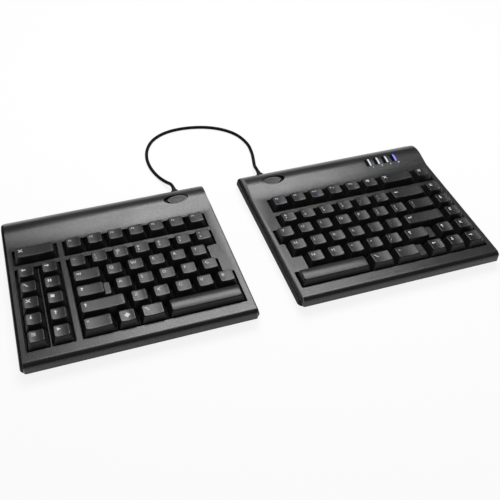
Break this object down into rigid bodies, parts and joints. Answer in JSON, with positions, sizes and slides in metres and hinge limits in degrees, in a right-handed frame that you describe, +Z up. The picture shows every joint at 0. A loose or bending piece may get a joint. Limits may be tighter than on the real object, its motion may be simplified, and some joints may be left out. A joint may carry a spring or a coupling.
{
  "type": "ergonomic split keyboard",
  "caption": "Low split keyboard: two halves with a raised rear ridge, full-travel keys and release catches, joined by a bridge cable.",
  "frame": {"origin": "on the desk, under the middle of the box that holds both cases, without the free cable", "axes": "+X from the left half to the right half, +Y to the rear edge where the cable leaves, +Z up"},
  "size_m": [0.431, 0.3004, 0.0222],
  "materials": {
    "cover_plastic": "fine satin texture, charcoal ABS",
    "base_plastic": "satin charcoal ABS",
    "key_plastic": "finely textured charcoal ABS with printed pale legends",
    "foot_rubber": "matte black rubber",
    "screw_steel": "blackened steel",
    "plate_steel": "zinc plated sheet steel",
    "membrane_film": "clear polyester film with printed tracks",
    "dome_rubber": "milky silicone rubber",
    "guide_plastic": "black ABS",
    "board_laminate": "green solder mask on glass laminate",
    "catch_plastic": "satin charcoal ABS",
    "window_plastic": "glossy smoked acrylic",
    "light_bar_plastic": "clear acrylic light bars, one lit blue",
    "battery_wrap": "shrink wrap over a flat cell",
    "socket_steel": "bright tinned steel",
    "cable_jacket": "satin black flexible jacket",
    "cable_rubber": "matte black moulded rubber"
  },
  "bodies": {
    "left_case": {"left_top_cover": "cover_plastic", "left_base": "base_plastic", "left_screws": "screw_steel", "left_feet": "foot_rubber", "left_backplate": "plate_steel", "left_membrane": "membrane_film", "left_dome_sheet": "dome_rubber", "left_guide_plate": "guide_plastic", "left_circuit_board": "board_laminate", "left_cable_boot": "cable_rubber", "bridge_cable": "cable_jacket"},
    "cable_end": {"right_cable_boot": "cable_rubber"},
    "right_case": {"right_top_cover": "cover_plastic", "right_base": "base_plastic", "right_screws": "screw_steel", "right_feet": "foot_rubber", "right_backplate": "plate_steel", "right_membrane": "membrane_film", "right_dome_sheet": "dome_rubber", "right_guide_plate": "guide_plastic", "right_circuit_board": "board_laminate", "indicator_window": "window_plastic", "indicator_lights": "light_bar_plastic", "battery": "battery_wrap", "charge_socket": "socket_steel"},
    "left_catch": {"left_release_catch": "catch_plastic"},
    "right_catch": {"right_release_catch": "catch_plastic"},
    "switch": {"power_switch": "catch_plastic"},
    "left_function_keys_body": {"left_function_keys": "key_plastic"},
    "left_number_keys_body": {"left_number_keys": "key_plastic"},
    "left_upper_keys_body": {"left_upper_keys": "key_plastic"},
    "left_home_keys_body": {"left_home_keys": "key_plastic"},
    "left_lower_keys_body": {"left_lower_keys": "key_plastic"},
    "outer_hot_keys_body": {"outer_hot_keys": "key_plastic"},
    "inner_hot_keys_body": {"inner_hot_keys": "key_plastic"},
    "escape_key_body": {"escape_key": "key_plastic"},
    "tab_key_body": {"tab_key": "key_plastic"},
    "caps_key_body": {"caps_key": "key_plastic"},
    "left_shift_key_body": {"left_shift_key": "key_plastic"},
    "left_control_key_body": {"left_control_key": "key_plastic"},
    "system_key_body": {"system_key": "key_plastic"},
    "left_alt_key_body": {"left_alt_key": "key_plastic"},
    "left_space_key_body": {"left_space_key": "key_plastic"},
    "right_function_keys_body": {"right_function_keys": "key_plastic"},
    "right_number_keys_body": {"right_number_keys": "key_plastic"},
    "right_upper_keys_body": {"right_upper_keys": "key_plastic"},
    "right_home_keys_body": {"right_home_keys": "key_plastic"},
    "right_lower_keys_body": {"right_lower_keys": "key_plastic"},
    "navigation_keys_body": {"navigation_keys": "key_plastic"},
    "delete_key_body": {"delete_key": "key_plastic"},
    "backspace_key_body": {"backspace_key": "key_plastic"},
    "backslash_key_body": {"backslash_key": "key_plastic"},
    "enter_key_body": {"enter_key": "key_plastic"},
    "right_shift_key_body": {"right_shift_key": "key_plastic"},
    "up_arrow_key_body": {"up_arrow_key": "key_plastic"},
    "right_space_key_body": {"right_space_key": "key_plastic"},
    "right_alt_key_body": {"right_alt_key": "key_plastic"},
    "right_control_key_body": {"right_control_key": "key_plastic"},
    "lower_arrow_keys_body": {"lower_arrow_keys": "key_plastic"}
  },
  "joints": [
    {"name": "halves_spread", "type": "slide", "parent": "left_case", "child": "cable_end", "axis": [1, 0, 0], "range_m": [-0.03, 0.06], "deforming": ["bridge_cable"]},
    {"name": "right_half_splay", "type": "hinge", "parent": "cable_end", "child": "right_case", "pos_m": [0.04517, 0.092, 0.0075], "axis": [0, 0, 1], "range_deg": [0, 30]},
    {"name": "left_catch_slide", "type": "slide", "parent": "left_case", "child": "left_catch", "axis": [-1, 0, 0], "range_m": [0, 0.0022], "stiffness_N_per_m": 300, "springref_m": -0.002},
    {"name": "right_catch_slide", "type": "slide", "parent": "right_case", "child": "right_catch", "axis": [1, 0, 0], "range_m": [0, 0.0022], "stiffness_N_per_m": 300, "springref_m": -0.002},
    {"name": "power_switch_slide", "type": "slide", "parent": "right_case", "child": "switch", "axis": [1, 0, 0], "range_m": [0, 0.003]},
    {"name": "left_function_keys_press", "type": "slide", "parent": "left_case", "child": "left_function_keys_body", "axis": [0, 0, -1], "range_m": [0, 0.0038], "stiffness_N_per_m": 840, "springref_m": -0.001},
    {"name": "left_number_keys_press", "type": "slide", "parent": "left_case", "child": "left_number_keys_body", "axis": [0, 0, -1], "range_m": [0, 0.0038], "stiffness_N_per_m": 840, "springref_m": -0.001},
    {"name": "left_upper_keys_press", "type": "slide", "parent": "left_case", "child": "left_upper_keys_body", "axis": [0, 0, -1], "range_m": [0, 0.0038], "stiffness_N_per_m": 600, "springref_m": -0.001},
    {"name": "left_home_keys_press", "type": "slide", "parent": "left_case", "child": "left_home_keys_body", "axis": [0, 0, -1], "range_m": [0, 0.0038], "stiffness_N_per_m": 600, "springref_m": -0.001},
    {"name": "left_lower_keys_press", "type": "slide", "parent": "left_case", "child": "left_lower_keys_body", "axis": [0, 0, -1], "range_m": [0, 0.0038], "stiffness_N_per_m": 600, "springref_m": -0.001},
    {"name": "outer_hot_keys_press", "type": "slide", "parent": "left_case", "child": "outer_hot_keys_body", "axis": [0, 0, -1], "range_m": [0, 0.0038], "stiffness_N_per_m": 600, "springref_m": -0.001},
    {"name": "inner_hot_keys_press", "type": "slide", "parent": "left_case", "child": "inner_hot_keys_body", "axis": [0, 0, -1], "range_m": [0, 0.0038], "stiffness_N_per_m": 600, "springref_m": -0.001},
    {"name": "escape_key_press", "type": "slide", "parent": "left_case", "child": "escape_key_body", "axis": [0, 0, -1], "range_m": [0, 0.0038], "stiffness_N_per_m": 120, "springref_m": -0.001},
    {"name": "tab_key_press", "type": "slide", "parent": "left_case", "child": "tab_key_body", "axis": [0, 0, -1], "range_m": [0, 0.0038], "stiffness_N_per_m": 120, "springref_m": -0.001},
    {"name": "caps_key_press", "type": "slide", "parent": "left_case", "child": "caps_key_body", "axis": [0, 0, -1], "range_m": [0, 0.0038], "stiffness_N_per_m": 120, "springref_m": -0.001},
    {"name": "left_shift_key_press", "type": "slide", "parent": "left_case", "child": "left_shift_key_body", "axis": [0, 0, -1], "range_m": [0, 0.0038], "stiffness_N_per_m": 120, "springref_m": -0.001},
    {"name": "left_control_key_press", "type": "slide", "parent": "left_case", "child": "left_control_key_body", "axis": [0, 0, -1], "range_m": [0, 0.0038], "stiffness_N_per_m": 120, "springref_m": -0.001},
    {"name": "system_key_press", "type": "slide", "parent": "left_case", "child": "system_key_body", "axis": [0, 0, -1], "range_m": [0, 0.0038], "stiffness_N_per_m": 120, "springref_m": -0.001},
    {"name": "left_alt_key_press", "type": "slide", "parent": "left_case", "child": "left_alt_key_body", "axis": [0, 0, -1], "range_m": [0, 0.0038], "stiffness_N_per_m": 120, "springref_m": -0.001},
    {"name": "left_space_key_press", "type": "slide", "parent": "left_case", "child": "left_space_key_body", "axis": [0, 0, -1], "range_m": [0, 0.0038], "stiffness_N_per_m": 120, "springref_m": -0.001, "deforming": ["left_dome_sheet"]},
    {"name": "right_function_keys_press", "type": "slide", "parent": "right_case", "child": "right_function_keys_body", "axis": [0, 0, -1], "range_m": [0, 0.0038], "stiffness_N_per_m": 840, "springref_m": -0.001},
    {"name": "right_number_keys_press", "type": "slide", "parent": "right_case", "child": "right_number_keys_body", "axis": [0, 0, -1], "range_m": [0, 0.0038], "stiffness_N_per_m": 720, "springref_m": -0.001},
    {"name": "right_upper_keys_press", "type": "slide", "parent": "right_case", "child": "right_upper_keys_body", "axis": [0, 0, -1], "range_m": [0, 0.0038], "stiffness_N_per_m": 840, "springref_m": -0.001},
    {"name": "right_home_keys_press", "type": "slide", "parent": "right_case", "child": "right_home_keys_body", "axis": [0, 0, -1], "range_m": [0, 0.0038], "stiffness_N_per_m": 720, "springref_m": -0.001},
    {"name": "right_lower_keys_press", "type": "slide", "parent": "right_case", "child": "right_lower_keys_body", "axis": [0, 0, -1], "range_m": [0, 0.0038], "stiffness_N_per_m": 600, "springref_m": -0.001},
    {"name": "navigation_keys_press", "type": "slide", "parent": "right_case", "child": "navigation_keys_body", "axis": [0, 0, -1], "range_m": [0, 0.0038], "stiffness_N_per_m": 480, "springref_m": -0.001},
    {"name": "delete_key_press", "type": "slide", "parent": "right_case", "child": "delete_key_body", "axis": [0, 0, -1], "range_m": [0, 0.0038], "stiffness_N_per_m": 120, "springref_m": -0.001},
    {"name": "backspace_key_press", "type": "slide", "parent": "right_case", "child": "backspace_key_body", "axis": [0, 0, -1], "range_m": [0, 0.0038], "stiffness_N_per_m": 120, "springref_m": -0.001},
    {"name": "backslash_key_press", "type": "slide", "parent": "right_case", "child": "backslash_key_body", "axis": [0, 0, -1], "range_m": [0, 0.0038], "stiffness_N_per_m": 120, "springref_m": -0.001},
    {"name": "enter_key_press", "type": "slide", "parent": "right_case", "child": "enter_key_body", "axis": [0, 0, -1], "range_m": [0, 0.0038], "stiffness_N_per_m": 120, "springref_m": -0.001},
    {"name": "right_shift_key_press", "type": "slide", "parent": "right_case", "child": "right_shift_key_body", "axis": [0, 0, -1], "range_m": [0, 0.0038], "stiffness_N_per_m": 120, "springref_m": -0.001},
    {"name": "up_arrow_key_press", "type": "slide", "parent": "right_case", "child": "up_arrow_key_body", "axis": [0, 0, -1], "range_m": [0, 0.0038], "stiffness_N_per_m": 120, "springref_m": -0.001},
    {"name": "right_space_key_press", "type": "slide", "parent": "right_case", "child": "right_space_key_body", "axis": [0, 0, -1], "range_m": [0, 0.0038], "stiffness_N_per_m": 120, "springref_m": -0.001, "deforming": ["right_dome_sheet"]},
    {"name": "right_alt_key_press", "type": "slide", "parent": "right_case", "child": "right_alt_key_body", "axis": [0, 0, -1], "range_m": [0, 0.0038], "stiffness_N_per_m": 120, "springref_m": -0.001},
    {"name": "right_control_key_press", "type": "slide", "parent": "right_case", "child": "right_control_key_body", "axis": [0, 0, -1], "range_m": [0, 0.0038], "stiffness_N_per_m": 120, "springref_m": -0.001},
    {"name": "lower_arrow_keys_press", "type": "slide", "parent": "right_case", "child": "lower_arrow_keys_body", "axis": [0, 0, -1], "range_m": [0, 0.0038], "stiffness_N_per_m": 360, "springref_m": -0.001}
  ]
}
